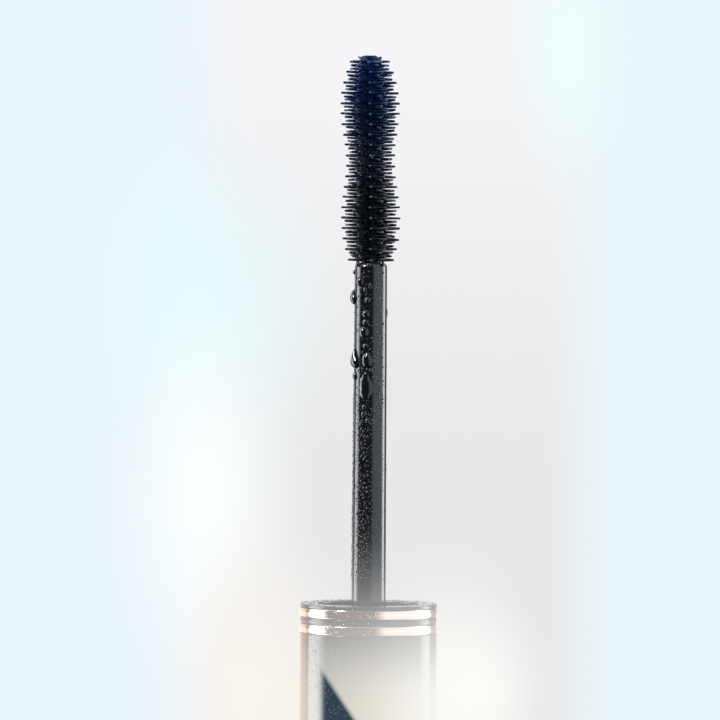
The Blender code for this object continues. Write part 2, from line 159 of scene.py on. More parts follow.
# Bottle
NECK_RADIUS = 5.85
NECK_BORE = 4.85
NECK_CREST = 6.4
NECK_LAND_LOW = 12.0
VIAL_WALL = 1.0
VIAL_FLOOR = 1.2
VIAL_FILLET = 0.8
PLUG_FLANGE = 1.0
PLUG_SKIRT_WALL = 0.9
PLUG_DISH = 0.2
PLUG_DISH_SLOPE = 0.4
WIPER_FLANGE = 0.75
WIPER_RADIUS = 4.75
WIPER_BORE = 4.15
LIP_ROOT_HEIGHT = 0.6
LIP_ORIFICE = 2.4
LIP_THICKNESS = 0.3
FORMULA_INSET = 0.4
FORMULA_LUMPS = 0.12

# Camera
VIEW_WIDTH = 94.36
CAMERA_DISTANCE = 1000.0
RIM_ELEVATION = radians(3.3)
AIM_ABOVE_RIM = 31.9
AIM_ASIDE = -1.34
CAMERA_ROLL = radians(0.43)
CAMERA_REACH = (10.0, 20000.0)
SENSOR = 36.0
# The card that paints a white glow in front of the lens: its distance from the lens, and how far it overlaps
# the view
GLOW_CARD_GAP = 30.0
GLOW_CARD_OVERLAP = 1.2

# Stage
FLOOR_RADIUS = 340.0
FLOOR_SIDES = 96

# Colours
SHELL_BLACKS = ((0.0012, 0.0028, 0.0055), (0.002, 0.0045, 0.008))
RIM_BLACKS = ((0.005, 0.006, 0.009), (0.009, 0.01, 0.014))
STEM_BLACKS = ((0.0006, 0.0012, 0.002), (0.001, 0.002, 0.003))
DUST = (0.35, 0.34, 0.33)


def extent(node):
    """(outer radius, lowest z, highest z) of a round CAD node at rest."""
    low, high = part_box(node)
    return high.x / MM, low.z / MM, high.z / MM


CAP_RADIUS, CAP_FOOT, SHELL_TOP = extent("cap_shell")
_, SKIRT_BOTTOM, RIM_Z = extent("inner_cap")
_, STEM_LOW, STEM_TOP = extent("stem")
_, _, BRUSH_TIP = extent("brush")
RECESS_Z = RIM_Z - RECESS_DEPTH


# ---- meshes


def new_piece(name, points, faces, surface, edge=None):
    """A smooth mesh object from points in millimetres. edge is each point's share of edge wear."""
    mesh = bpy.data.meshes.new(name)
    mesh.from_pydata([(x * MM, y * MM, z * MM) for x, y, z in points], [], faces)
    mesh.materials.append(surface)
    mesh.polygons.foreach_set("use_smooth", [True] * len(mesh.polygons))
    if edge is not None:
        mesh.attributes.new("edge", "FLOAT", "POINT").data.foreach_set("value", edge)
    obj = bpy.data.objects.new(name, mesh)
    bpy.context.scene.collection.objects.link(obj)
    return obj


def settle(obj, body, slot, *nodes):
    """The piece rides on a body and stands for CAD nodes. slot is not used."""
    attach(obj, body)
    if nodes:
        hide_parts(*nodes)
    return obj


def rounded(outline, closed):
    """Turns each corner (radius, z, softness) into a short curve of (radius, z, edge) points.

    edge is 1 on a convex corner and -1 in a hollow one.
    """
    points = []
    count = len(outline)
    for index, (radius, z, softness) in enumerate(outline):
        corner = Vector((radius, z))
        at_end = not closed and index in (0, count - 1)
        if at_end or softness == 0:
            points.append((radius, z, 0.0))
            continue
        before = Vector(outline[index - 1][:2]) - corner
        after = Vector(outline[(index + 1) % count][:2]) - corner
        reach = min(softness, 0.45 * before.length, 0.45 * after.length)
        start = corner + before.normalized() * reach
        end = corner + after.normalized() * reach
        convex = 1 if after.cross(before) > 0 else -1
        for step in range(CORNER_STEPS + 1):
            t = step / CORNER_STEPS
            curve = start * (1 - t) ** 2 + corner * 2 * t * (1 - t) + end * t * t
            points.append((curve.x, curve.y, convex * sin(pi * t)))
    return points


def turned(name, outline, surface, closed=False, swell=None):
    """A solid of revolution whose outline runs up the outer side. A closed outline makes a ring.

    swell(angle, z, radius) gives the radius to use in place of the outline's.
    """
    points = []
    edge = []
    rings = []
    for radius, z, wear in rounded(outline, closed):
        first = len(points)
        if radius == 0:
            points.append((0, 0, z))
            edge.append(wear)
            rings.append([first] * SEGMENTS)
            continue
        for i in range(SEGMENTS):
            angle = 2 * pi * i / SEGMENTS
            reach = swell(angle, z, radius) if swell else radius
            points.append((reach * cos(angle), reach * sin(angle), z))
            edge.append(wear)
        rings.append(list(range(first, first + SEGMENTS)))
    if closed:
        rings.append(rings[0])
    faces = []
    for low, high in zip(rings, rings[1:]):
        for i in range(SEGMENTS):
            j = (i + 1) % SEGMENTS
            faces.append(tuple(dict.fromkeys((low[i], low[j], high[j], high[i]))))
    obj = new_piece(name, points, faces, surface, edge)
    shading = obj.modifiers.new("even_shading", "WEIGHTED_NORMAL")
    shading.weight = 100
    return obj


def wall(radius, start_z, end_z, rows):
    """Outline points of a plain wall, close enough together to carry a thread."""
    return [(radius, start_z + (end_z - start_z) * i / rows, 0) for i in range(rows + 1)]


def thread(wall_radius, height, start_z, start_angle, turns):
    """A swell function for one right-hand thread on a wall. A negative height stands inwards."""

    def swell(angle, z, radius):
        if abs(radius - wall_radius) > HAIR:
            return radius
        best = 0.0
        first = (angle - start_angle) / (2 * pi) % 1.0
        while first <= turns:
            away = abs(z - start_z - THREAD_PITCH * first)
            rise = (THREAD_HALF_ROOT - away) / (THREAD_HALF_ROOT - THREAD_HALF_CREST)
            rise = min(1.0, max(0.0, rise))
            fade = min(1.0, first / THREAD_FADE, (turns - first) / THREAD_FADE)
            best = max(best, rise * rise * (3 - 2 * rise) * fade)
            first += 1.0
        return radius + height * best

    return swell


# ---- node helpers


def feed(tree, socket, value):
    """Links a socket to another one, or gives it a value. Colours are given without alpha."""
    if isinstance(value, bpy.types.NodeSocket):
        tree.links.new(value, socket)
    else:
        socket.default_value = (*value, 1.0) if socket.type == "RGBA" else value


def add(tree, kind, inputs=None, **settings):
    """Adds a shader node. Inputs are values or sockets, by the socket's name or number."""
    node = tree.nodes.new("ShaderNode" + kind)
    for name, value in settings.items():
        setattr(node, name, value)
    for key, value in (inputs or {}).items():
        feed(tree, node.inputs[key], value)
    return node


def maths(tree, operation, *values):
    """A Math node's result."""
    return add(tree, "Math", dict(enumerate(values)), operation=operation).outputs[0]


def times(tree, first, second):
    """The product of two values."""
    return maths(tree, "MULTIPLY", first, second)


def raised(tree, value, share, amount):
    """The value, higher by amount where share is 1."""
    return maths(tree, "ADD", value, times(tree, share, amount))


def ramp(tree, value, low, high, start=0.0, end=1.0):
    """start below low, end above high, and a smooth step between them."""
    inputs = {"Value": value, "From Min": low, "From Max": high, "To Min": start, "To Max": end}
    return add(tree, "MapRange", inputs, interpolation_type="SMOOTHSTEP").outputs[0]


def slab(tree, value, rise, fall):
    """0, rising to 1 through one pair of values and falling back through the other."""
    return times(tree, ramp(tree, value, *rise), ramp(tree, value, *fall, 1.0, 0.0))


def mix(tree, share, first, second):
    """Colour between first and second."""
    return add(tree, "Mix", {0: share, 6: first, 7: second}, data_type="RGBA").outputs[2]


def tinge(tree, colour, share, strength, tint):
    """The colour, drawn towards tint by strength where share is 1."""
    return mix(tree, times(tree, share, strength), colour, tint)


def millimetres(tree, stretch=(1.0, 1.0, 1.0)):
    """The surface point in millimetres, squeezed along each axis to stretch a pattern across it."""
    place = add(tree, "TexCoord").outputs["Object"]
    scale = [1000.0 * share for share in stretch]
    return add(tree, "Mapping", {"Vector": place, "Scale": scale}).outputs[0]


def coordinates(tree, kind):
    """The x, y and z of a kind of texture coordinate."""
    return add(tree, "SeparateXYZ", {0: add(tree, "TexCoord").outputs[kind]}).outputs


def grain(tree, where, per_mm, detail=3.0):
    """Noise with about per_mm features in a millimetre."""
    inputs = {"Vector": where, "Scale": per_mm, "Detail": detail}
    return add(tree, "TexNoise", inputs).outputs[0]


def specks(tree, where, per_mm, size):
    """Small round dots, one in a cell, of a size given as a share of the cell."""
    cells = add(tree, "TexVoronoi", {"Vector": where, "Scale": per_mm})
    return ramp(tree, cells.outputs["Distance"], size * 0.6, size, 1.0, 0.0)


def worn_edge(tree):
    """Shares of the point's convex and hollow edge."""
    edge = add(tree, "Attribute", attribute_name="edge").outputs["Fac"]
    return ramp(tree, edge, 0.2, 0.9), ramp(tree, edge, -0.9, -0.2, 1.0, 0.0)


def principled(name):
    """A new material, its node tree and the surface point in millimetres."""
    made = bpy.data.materials.new(name)
    made.use_nodes = True
    return made, made.node_tree, millimetres(made.node_tree)


def connect(tree, **inputs):
    """Sets inputs of the Principled shader, whose names are written with underscores. Returns the shader."""
    shader = tree.nodes["Principled BSDF"]
    for name, value in inputs.items():
        feed(tree, shader.inputs[name.replace("_", " ")], value)
    return shader


def bump(tree, height, depth_mm):
    """A bumped normal for a height of 0 to 1 that stands for depth_mm."""
    return add(tree, "Bump", {"Height": height, "Distance": depth_mm * MM, "Strength": 1.0}).outputs[0]


# ---- materials


def gloss_plastic(name, deep, light, roughness):
    """Dark moulded gloss: cloudy polish, hairline scratches round the piece, dust, and edges rubbed dull."""
    made, tree, where = principled(name)
    cloud = grain(tree, where, 0.4)
    peel = grain(tree, where, 5.0, 2.0)
    scratches = ramp(tree, grain(tree, millimetres(tree, (0.5, 0.5, 16.0)), 1.0, 2.0), 0.66, 0.74)
    dust = specks(tree, where, 1.6, 0.07)
    convex, hollow = worn_edge(tree)
    rubbed = times(tree, convex, ramp(tree, grain(tree, where, 3.0), 0.35, 0.65))
    colour = mix(tree, cloud, deep, light)
    colour = tinge(tree, colour, rubbed, 0.5, (0.06, 0.06, 0.065))
    colour = tinge(tree, colour, dust, 0.35, DUST)
    colour = tinge(tree, colour, hollow, 0.2, (0.09, 0.085, 0.08))
    rough = ramp(tree, cloud, 0.3, 0.7, roughness, roughness + 0.05)
    rough = raised(tree, rough, scratches, 0.12)
    rough = raised(tree, rough, rubbed, 0.2)
    rough = raised(tree, rough, dust, 0.3)
    relief = maths(tree, "SUBTRACT", peel, times(tree, scratches, 0.4))
    connect(tree, Base_Color=colour, Roughness=rough, IOR=1.5, Normal=bump(tree, relief, 0.0012))
    return made


def rose_gold(name):
    """Plated metal: fine turning lines, tarnish in patches, dark hollows, and edges rubbed bright."""
    made, tree, where = principled(name)
    cloud = grain(tree, where, 0.5)
    lines = grain(tree, millimetres(tree, (0.25, 0.25, 26.0)), 1.0, 2.0)
    tarnish = ramp(tree, grain(tree, where, 2.2, 4.0), 0.55, 0.75)
    convex, hollow = worn_edge(tree)
    colour = mix(tree, cloud, (0.86, 0.52, 0.39), (0.91, 0.61, 0.48))
    colour = tinge(tree, colour, tarnish, 0.25, (0.62, 0.36, 0.26))
    colour = tinge(tree, colour, convex, 0.5, (0.95, 0.8, 0.7))
    colour = tinge(tree, colour, hollow, 0.6, (0.25, 0.14, 0.1))
    rough = ramp(tree, lines, 0.3, 0.7, 0.07, 0.17)
    rough = raised(tree, rough, tarnish, 0.08)
    relief = bump(tree, lines, 0.0015)
    connect(tree, Base_Color=colour, Metallic=1.0, Roughness=rough, Normal=relief)
    return made


def brushed_steel(name):
    """Turned steel with a dull, streaked surface."""
    made, tree, where = principled(name)
    lines = grain(tree, millimetres(tree, (0.3, 0.3, 12.0)), 1.0, 4.0)
    stain = ramp(tree, grain(tree, where, 0.5), 0.45, 0.7)
    colour = mix(tree, stain, (0.55, 0.55, 0.56), (0.38, 0.36, 0.34))
    rough = ramp(tree, lines, 0.3, 0.7, 0.28, 0.5)
    connect(tree, Base_Color=colour, Metallic=1.0, Roughness=rough, Normal=bump(tree, lines, 0.01))
    return made


def elastomer(name, shine):
    """Black rubbery plastic, navy towards the tip, with a film of product that makes it shine in patches."""
    made, tree, where = principled(name)
    height = add(tree, "SeparateXYZ", {0: where}).outputs["Z"]
    navy = ramp(tree, height, BRUSH_TIP - NAVY_START, BRUSH_TIP - NAVY_FULL)
    film = ramp(tree, grain(tree, where, 0.9), 0.42, 0.62)
    fine = grain(tree, where, 9.0, 4.0)
    black = mix(tree, film, (0.002, 0.004, 0.008), (0.0012, 0.0026, 0.0055))
    blue = mix(tree, film, (0.0015, 0.012, 0.058), (0.0008, 0.008, 0.042))
    colour = mix(tree, navy, black, blue)
    rough = ramp(tree, film, 0.0, 1.0, 0.36, 0.2)
    rough = raised(tree, rough, fine, 0.12)
    relief = bump(tree, fine, 0.01)
    tint = mix(tree, navy, (0.85, 0.9, 1.0), (0.5, 0.68, 1.0))
    connect(tree, Base_Color=colour, Roughness=rough, Normal=relief, Specular_IOR_Level=shine,
            Specular_Tint=tint)
    return made


def water(name):
    """Clear water with the least haze where a bead has dried on."""
    made, tree, where = principled(name)
    haze = ramp(tree, grain(tree, where, 2.5), 0.55, 0.8, 0.0, 0.05)
    tint = mix(tree, haze, (1.0, 1.0, 1.0), (0.9, 0.95, 1.0))
    connect(tree, Base_Color=tint, Roughness=haze, IOR=1.333, Transmission_Weight=1.0)
    return made


def wet_black(name):
    """A bead on black plastic. What is behind it shows through nearly black, so its shine is what is seen."""
    made, tree, where = principled(name)
    cloud = grain(tree, where, 1.2)
    colour = mix(tree, cloud, (0.0003, 0.0014, 0.0025), (0.0006, 0.003, 0.005))
    rough = ramp(tree, grain(tree, where, 2.5), 0.5, 0.8, 0.01, 0.06)
    connect(tree, Base_Color=colour, Roughness=rough, IOR=1.333, Specular_IOR_Level=0.9)
    return made


def natural_plastic(name, colour, deep, clear, roughness):
    """Uncoloured, milky moulded plastic, with flow marks and a faint mould texture."""
    made, tree, where = principled(name)
    flow = grain(tree, millimetres(tree, (1.0, 1.0, 0.25)), 0.6, 4.0)
    fine = grain(tree, where, 6.0)
    convex, hollow = worn_edge(tree)
    shade = mix(tree, flow, colour, deep)
    shade = tinge(tree, shade, hollow, 0.35, DUST)
    rough = ramp(tree, flow, 0.3, 0.7, roughness, roughness + 0.12)
    rough = raised(tree, rough, convex, 0.1)
    relief = bump(tree, fine, 0.004)
    connect(tree, Base_Color=shade, Roughness=rough, IOR=1.49, Transmission_Weight=clear,
            Subsurface_Weight=(1 - clear) * 0.2, Subsurface_Scale=0.4 * MM, Normal=relief)
    return made


def foam(name):
    """Pale closed-cell foam with grey stains."""
    made, tree, where = principled(name)
    cells = add(tree, "TexVoronoi", {"Vector": where, "Scale": 7.0}).outputs["Distance"]
    stain = ramp(tree, grain(tree, where, 0.8), 0.5, 0.75)
    colour = mix(tree, cells, (0.74, 0.73, 0.7), (0.86, 0.85, 0.82))
    colour = tinge(tree, colour, stain, 0.4, (0.45, 0.44, 0.43))
    rough = ramp(tree, cells, 0.0, 1.0, 0.65, 0.9)
    connect(tree, Base_Color=colour, Roughness=rough, Normal=bump(tree, cells, 0.03))
    return made


def wet_paste(name):
    """The product: a black, glossy, slightly lumpy cream."""
    made, tree, where = principled(name)
    lumps = grain(tree, where, 1.4, 4.0)
    colour = mix(tree, lumps, (0.003, 0.003, 0.004), (0.012, 0.012, 0.014))
    rough = ramp(tree, lumps, 0.3, 0.7, 0.12, 0.32)
    connect(tree, Base_Color=colour, Roughness=rough, Normal=bump(tree, lumps, 0.08))
    return made


# ---- cap


def cap_shell(surface):
    """Outer shell, stepped near the rim for the trim bands."""
    _, step_z, _ = extent("band_lower")
    step_z -= HAIR
    step = CAP_RADIUS - BAND_SEAT_DEPTH
    inner = CAP_RADIUS - SHELL_WALL
    outline = [
        (0, CAP_FOOT + FOOT_DEPTH, 0),
        (FOOT_RADIUS - FOOT_DEPTH, CAP_FOOT + FOOT_DEPTH, CRISP),
        (FOOT_RADIUS, CAP_FOOT, CRISP),
        (CAP_RADIUS, CAP_FOOT, END_ROUNDING),
        (CAP_RADIUS, step_z, CRISP),
        (step, step_z, HAIR),
        (step, SHELL_TOP, HAIR),
        (inner, SHELL_TOP, HAIR),
        (inner, CAP_FOOT + END_WALL, SOFT),
        (0, CAP_FOOT + END_WALL, 0),
    ]
    settle(turned("cap_outer_shell", outline, surface), "applicator", "cap_black_gloss", "cap_shell")


def trim_ring(name, node, surface, body, slot, inner, softness):
    """A trim ring with a faintly crowned face. softness is that of its lower inner edge."""
    radius, low, high = extent(node)
    crown = radius - BAND_CROWN
    middle = (low + high) / 2
    outline = [
        (inner, low, softness),
        (crown, low, CRISP),
        (radius, middle, high - middle),
        (crown, high, CRISP),
        (inner, high, HAIR),
    ]
    settle(turned(name, outline, surface, closed=True), body, slot, node)


def inner_cap(surface):
    """Insert whose flange is the rim and whose bore holds the thread and the socket of the stem."""
    outer = CAP_RADIUS - SHELL_WALL - 2 * HAIR
    skirt = outer - SKIRT_WALL
    socket = STEM_BASE_RADIUS + 2 * HAIR
    boss = socket + SOCKET_WALL
    under = RECESS_Z - RECESS_FLOOR
    thread_low = RIM_Z - CAP_THREAD_DEPTH - THREAD_MARGIN
    thread_high = thread_low + THREAD_PITCH * CAP_THREAD_TURNS + 2 * THREAD_MARGIN
    outline = [
        (0, STEM_LOW - RECESS_FLOOR, 0),
        (boss, STEM_LOW - RECESS_FLOOR, SOFT),
        (boss, under, SOFT),
        (skirt, under, SOFT),
        (skirt, SKIRT_BOTTOM, CRISP),
        (outer, SKIRT_BOTTOM, CRISP),
        (outer, SHELL_TOP + HAIR, HAIR),
        (CAP_RADIUS, SHELL_TOP + HAIR, CRISP),
        (CAP_RADIUS, RIM_Z, CRISP),
        (RIM_BORE, RIM_Z, SOFT),
        *wall(RIM_BORE, thread_high, thread_low, CAP_THREAD_ROWS),
        (RIM_BORE, RECESS_Z, SOFT),
        (socket, RECESS_Z, HAIR),
        (socket, STEM_LOW, HAIR),
        (0, STEM_LOW, 0),
    ]
    ridge = thread(RIM_BORE, -CAP_THREAD_HEIGHT, RIM_Z - CAP_THREAD_DEPTH, 0.0, CAP_THREAD_TURNS)
    settle(turned("rim_and_insert", outline, surface, swell=ridge), "applicator", "rim_black", "inner_cap")


def cap_liner(surface):
    """Washer with a ring pressed into it by the mouth of the bottle."""
    outer, low, high = extent("cap_liner")
    inner = outer - LINER_WIDTH
    outline = [
        (inner, low, HAIR),
        (outer, low, HAIR),
        (outer, high, CRISP),
        (NECK_RADIUS, high, CRISP),
        (NECK_RADIUS - 2 * LINER_DENT_SLOPE, high - LINER_DENT, CRISP),
        (NECK_BORE + LINER_DENT_SLOPE, high - LINER_DENT, CRISP),
        (NECK_BORE - LINER_DENT_SLOPE, high, CRISP),
        (inner, high, CRISP),
    ]
    settle(turned("seal_washer", outline, surface, closed=True), "applicator", "liner_foam", "cap_liner")


def stem_radius(z):
    """The stem's radius at a height, above the rim."""
    share = (z - RIM_Z) / (STEM_TOP - STEM_SHOULDER - RIM_Z)
    return STEM_BASE_RADIUS + (STEM_TIP_RADIUS - STEM_BASE_RADIUS) * max(0.0, share)


def stem(surface):
    """Tapered rod with a collar on the floor of the recess."""
    collar, _, _ = extent("stem")
    collar_low = RECESS_Z + HAIR
    collar_high = collar_low + COLLAR_HEIGHT
    outline = [
        (0, STEM_LOW, 0),
        (STEM_BASE_RADIUS, STEM_LOW, SOFT),
        (STEM_BASE_RADIUS, collar_low, HAIR),
        (collar, collar_low, HAIR),
        (collar, collar_high, SOFT),
        (STEM_BASE_RADIUS, collar_high, COLLAR_FILLET),
        (STEM_BASE_RADIUS, RIM_Z, 0),
        (STEM_TIP_RADIUS, STEM_TOP, STEM_TIP_ROUNDING),
        (0, STEM_TOP, 0),
    ]
    settle(turned("wand_stem", outline, surface), "applicator", "stem_black_gloss", "stem")


# ---- brush


def bristle_reach(share):
    """Radius of the bristle tips at a share of the way along the bristled length."""
    low, high = OUTLINE_LOW_BELLY, OUTLINE_HIGH_BELLY
    if share < low[0]:
        out = (low[0] - share) / (low[0] - OUTLINE_BASE[0])
        return low[1] + (OUTLINE_BASE[1] - low[1]) * out**2
    if share > high[0]:
        out = (share - high[0]) / (OUTLINE_TIP[0] - high[0])
        return high[1] + (OUTLINE_TIP[1] - high[1]) * out**2
    belly = low if share < OUTLINE_WAIST[0] else high
    towards_belly = (share - OUTLINE_WAIST[0]) / (belly[0] - OUTLINE_WAIST[0])
    rise = (1 - cos(pi * towards_belly)) / 2
    return OUTLINE_WAIST[1] + (belly[1] - OUTLINE_WAIST[1]) * rise


def lean(obj):
    """Leans a piece of the brush a little to one side, about its root."""
    for vertex in obj.data.vertices:
        share = (vertex.co.z / MM - STEM_TOP) / (BRUSH_TIP - STEM_TOP)
        vertex.co.x += BRUSH_LEAN * MM * max(0.0, share)
    return obj


def bristle_radius(share, thickness):
    """Half the thickness of a bristle along its length: a flared foot, a slim spindle and a round end."""
    body = BRISTLE_RADIUS + (BRISTLE_TIP_RADIUS - BRISTLE_RADIUS) * share**BRISTLE_TAPER
    foot = BRISTLE_FOOT * exp(-share / BRISTLE_FOOT_SHARE)
    end = max(0.0, 1 - (1 - share) / BRISTLE_ROUND_END)
    return (body * thickness + foot) * sqrt(max(0.0, 1 - end * end))


def add_bristle(points, faces, start, end, sag, thickness):
    """One round bristle from start to end, bent sideways by sag in its middle."""
    along = (end - start).normalized()
    across = along.cross(Vector((0, 0, 1))).normalized()
    up = across.cross(along)
    first = len(points)
    for share in BRISTLE_SHARES:
        centre = start.lerp(end, share) + sag * (4 * share * (1 - share))
        size = bristle_radius(share, thickness)
        for side in range(BRISTLE_SIDES):
            angle = 2 * pi * side / BRISTLE_SIDES
            points.append(centre + size * (cos(angle) * across + sin(angle) * up))
    tip = len(points)
    points.append(end)
    foot = len(points)
    points.append(start)
    last = first + (len(BRISTLE_SHARES) - 1) * BRISTLE_SIDES
    for side in range(BRISTLE_SIDES):
        following = (side + 1) % BRISTLE_SIDES
        for ring in range(first, last, BRISTLE_SIDES):
            following_ring = ring + BRISTLE_SIDES
            faces.append((ring + side, following_ring + side, following_ring + following, ring + following))
        faces.append((last + side, tip, last + following))
        faces.append((first + following, foot, first + side))


def bristle_places(ring, rings):
    """(heading, height, reach, slack) of a ring's bristles: eight long ones, then four short ones."""
    z = STEM_TOP + FIRST_RING + ring * RING_PITCH
    kind = ring % RINGS_PER_ROW
    reach = bristle_reach(ring / (rings - 1)) * LONG_REACH[kind]
    places = []
    for quarter in QUARTERS:
        for heading in LONG_HEADINGS[kind]:
            places.append((heading + quarter, z, reach, LONG_SLACK))
    for quarter in QUARTERS:
        heading = SHORT_HEADINGS[kind] + quarter
        places.append((heading, z + RING_PITCH / 2, reach * SHORT_REACH, SHORT_SLACK))
    return places


def bristles(surface, rng):
    """All the bristles, each a little different, and a crown of small ones on the tip."""
    points = []
    faces = []
    rings = (ROWS - 1) * RINGS_PER_ROW + 1
    for ring in range(rings):
        for heading, level, length, slack in bristle_places(ring, rings):
            angle = radians(heading + rng.gauss(0, HEADING_SCATTER))
            out = Vector((cos(angle), sin(angle), 0))
            side = Vector((-sin(angle), cos(angle), 0))
            start = out * (CORE_RADIUS - BRISTLE_ROOT) + Vector((0, 0, level))
            end = out * (length - rng.uniform(0.0, slack))
            end += side * rng.gauss(0, TIP_SCATTER[0])
            end += Vector((0, 0, level + BRISTLE_LIFT + rng.gauss(0, TIP_SCATTER[1])))
            sag = side * rng.gauss(0, SAG_SCATTER[0]) + Vector((0, 0, rng.gauss(0, SAG_SCATTER[1])))
            add_bristle(points, faces, start, end, sag, rng.uniform(*THICKNESS))
    for i in range(CROWN_BRISTLES):
        angle = 2 * pi * (i + CROWN_START) / CROWN_BRISTLES
        out = Vector((cos(angle), sin(angle), 0))
        start = out * (CORE_TIP_RADIUS - CROWN_ROOT) + Vector((0, 0, BRUSH_TIP - CROWN_ROOT_DEPTH))
        end = out * rng.uniform(*CROWN_REACH) + Vector((0, 0, BRUSH_TIP - rng.uniform(*CROWN_TIP_DEPTH)))
        add_bristle(points, faces, start, end, Vector((0, 0, CROWN_SAG)), CROWN_THICKNESS)
    made = lean(new_piece("brush_bristles", points, faces, surface))
    settle(made, "applicator", "brush_elastomer", "brush")


def brush_core(surface):
    """Core of the brush, faintly grooved between the rings of bristles."""
    low = STEM_TOP - 2 * HAIR
    rows = CORE_ROWS_PER_RING * (ROWS - 1) * RINGS_PER_ROW
    outline = [
        (0, low, 0),
        (CORE_RADIUS, low, HAIR),
        *wall(CORE_RADIUS, low + CORE_LEAD, BRUSH_TIP - CORE_TAPER, rows),
        (CORE_TIP_RADIUS, BRUSH_TIP, CORE_TIP_ROUNDING),
        (0, BRUSH_TIP, 0),
    ]

    def grooves(angle, z, radius):
        if abs(radius - CORE_RADIUS) > HAIR / 2:
            return radius
        turn = 2 * pi * (z - STEM_TOP - FIRST_RING) / RING_PITCH
        lumps = noise.noise(Vector((2 * cos(angle), 2 * sin(angle), z)))
        return radius + CORE_GROOVE * (cos(turn) - 1) / 2 + CORE_LUMPS * lumps

    made = lean(turned("brush_core", outline, surface, swell=grooves))
    settle(made, "applicator", "brush_elastomer", "brush")


# ---- bottle


def vial(surface):
    """Inner container with its threaded neck."""
    radius, mouth, end = extent("vial")
    _, _, shoulder = extent("bottle_collar")
    shoulder += HAIR
    inner = radius - VIAL_WALL
    inner_end = end - VIAL_FLOOR
    land_low = mouth + NECK_LAND_LOW
    outline = [
        (0, inner_end, 0),
        (inner, inner_end, VIAL_FILLET),
        (inner, shoulder + VIAL_WALL + inner - NECK_BORE, SOFT),
        (NECK_BORE, shoulder + VIAL_WALL, SOFT),
        (NECK_BORE, mouth, CRISP),
        (NECK_RADIUS, mouth, SOFT),
        *wall(NECK_RADIUS, mouth + THREAD_MARGIN, land_low - THREAD_MARGIN, NECK_THREAD_ROWS),
        (NECK_RADIUS, land_low, CRISP),
        (NECK_CREST, land_low, CRISP),
        (NECK_CREST, shoulder, HAIR),
        (radius, shoulder, SOFT),
        (radius, end, SOFT),
        (0, end, 0),
    ]
    lead = mouth + NECK_THREAD_LEAD
    ridge = thread(NECK_RADIUS, NECK_CREST - NECK_RADIUS, lead, NECK_THREAD_START, NECK_THREAD_TURNS)
    settle(turned("vial_and_neck", outline, surface, swell=ridge), "bottle", "vial_clear", "vial")


def bottle_shell(surface):
    """Outer sleeve of the bottle."""
    radius, low, high = extent("bottle_shell")
    inner = radius - SHELL_WALL
    outline = [
        (inner, low, HAIR),
        (radius, low, CRISP),
        (radius, high, CRISP),
        (inner, high, HAIR),
    ]
    made = turned("bottle_sleeve", outline, surface, closed=True)
    settle(made, "bottle", "bottle_black_gloss", "bottle_shell")


def base_plug(surface):
    """End piece of the bottle, with a shallow dish in its face."""
    radius, low, high = extent("base_plug")
    skirt = radius - SHELL_WALL - 2 * HAIR
    flange = high - PLUG_FLANGE
    outline = [
        (0, flange, 0),
        (skirt - PLUG_SKIRT_WALL, flange, CRISP),
        (skirt - PLUG_SKIRT_WALL, low, CRISP),
        (skirt, low, CRISP),
        (skirt, flange, HAIR),
        (radius, flange, CRISP),
        (radius, high, END_ROUNDING),
        (FOOT_RADIUS, high, CRISP),
        (FOOT_RADIUS - PLUG_DISH_SLOPE, high - PLUG_DISH, CRISP),
        (0, high - PLUG_DISH, 0),
    ]
    settle(turned("bottle_end", outline, surface), "bottle", "plug_black_gloss", "base_plug")


def wiper(insert_surface, lip_surface):
    """Sleeve in the neck and the soft cone at its inner end."""
    flange, low, high = extent("wiper_insert")
    flange_high = low + WIPER_FLANGE
    outline = [
        (WIPER_BORE, low, SOFT),
        (flange, low, CRISP),
        (flange, flange_high, CRISP),
        (WIPER_RADIUS, flange_high, CRISP),
        (WIPER_RADIUS, high, CRISP),
        (WIPER_BORE, high, CRISP),
    ]
    made = turned("wiper_sleeve", outline, insert_surface, closed=True)
    settle(made, "wiper", "wiper_natural", "wiper_insert")
    _, lip_low, lip_high = extent("wiper_lip")
    lip = [
        (WIPER_BORE, lip_low, HAIR),
        (WIPER_RADIUS, lip_low, HAIR),
        (WIPER_RADIUS, lip_low + LIP_ROOT_HEIGHT, SOFT),
        (LIP_ORIFICE + LIP_THICKNESS, lip_high, CRISP),
        (LIP_ORIFICE, lip_high, CRISP),
    ]
    made = turned("wiper_cone", lip, lip_surface, closed=True)
    settle(made, "wiper", "lip_soft", "wiper_lip")


def formula(surface):
    """The product as a lumpy film with the wand's channel through it."""
    outer, low, high = extent("formula")
    inner = NECK_BORE - FORMULA_INSET

    def lumps(angle, z, radius):
        place = Vector((3 * cos(angle), 3 * sin(angle), z / 4))
        return radius + FORMULA_LUMPS * noise.noise(place) if radius < outer - 1 else radius

    outline = [
        (inner, low, SOFT),
        (outer, low, SOFT),
        (outer, high, SOFT),
        *wall(inner, high, low + 2 * SOFT, FORMULA_ROWS),
    ]
    made = turned("product_film", outline, surface, closed=True, swell=lumps)
    settle(made, "formula", "formula_black", "formula")


# ---- water


def dome(share, width, height):
    """Height of a round-topped drop at a share of the way from its middle to its rim."""
    curve = (width * width + height * height) / (2 * height)
    return sqrt(max(0.0, curve**2 - (share * width) ** 2)) - (curve - height)


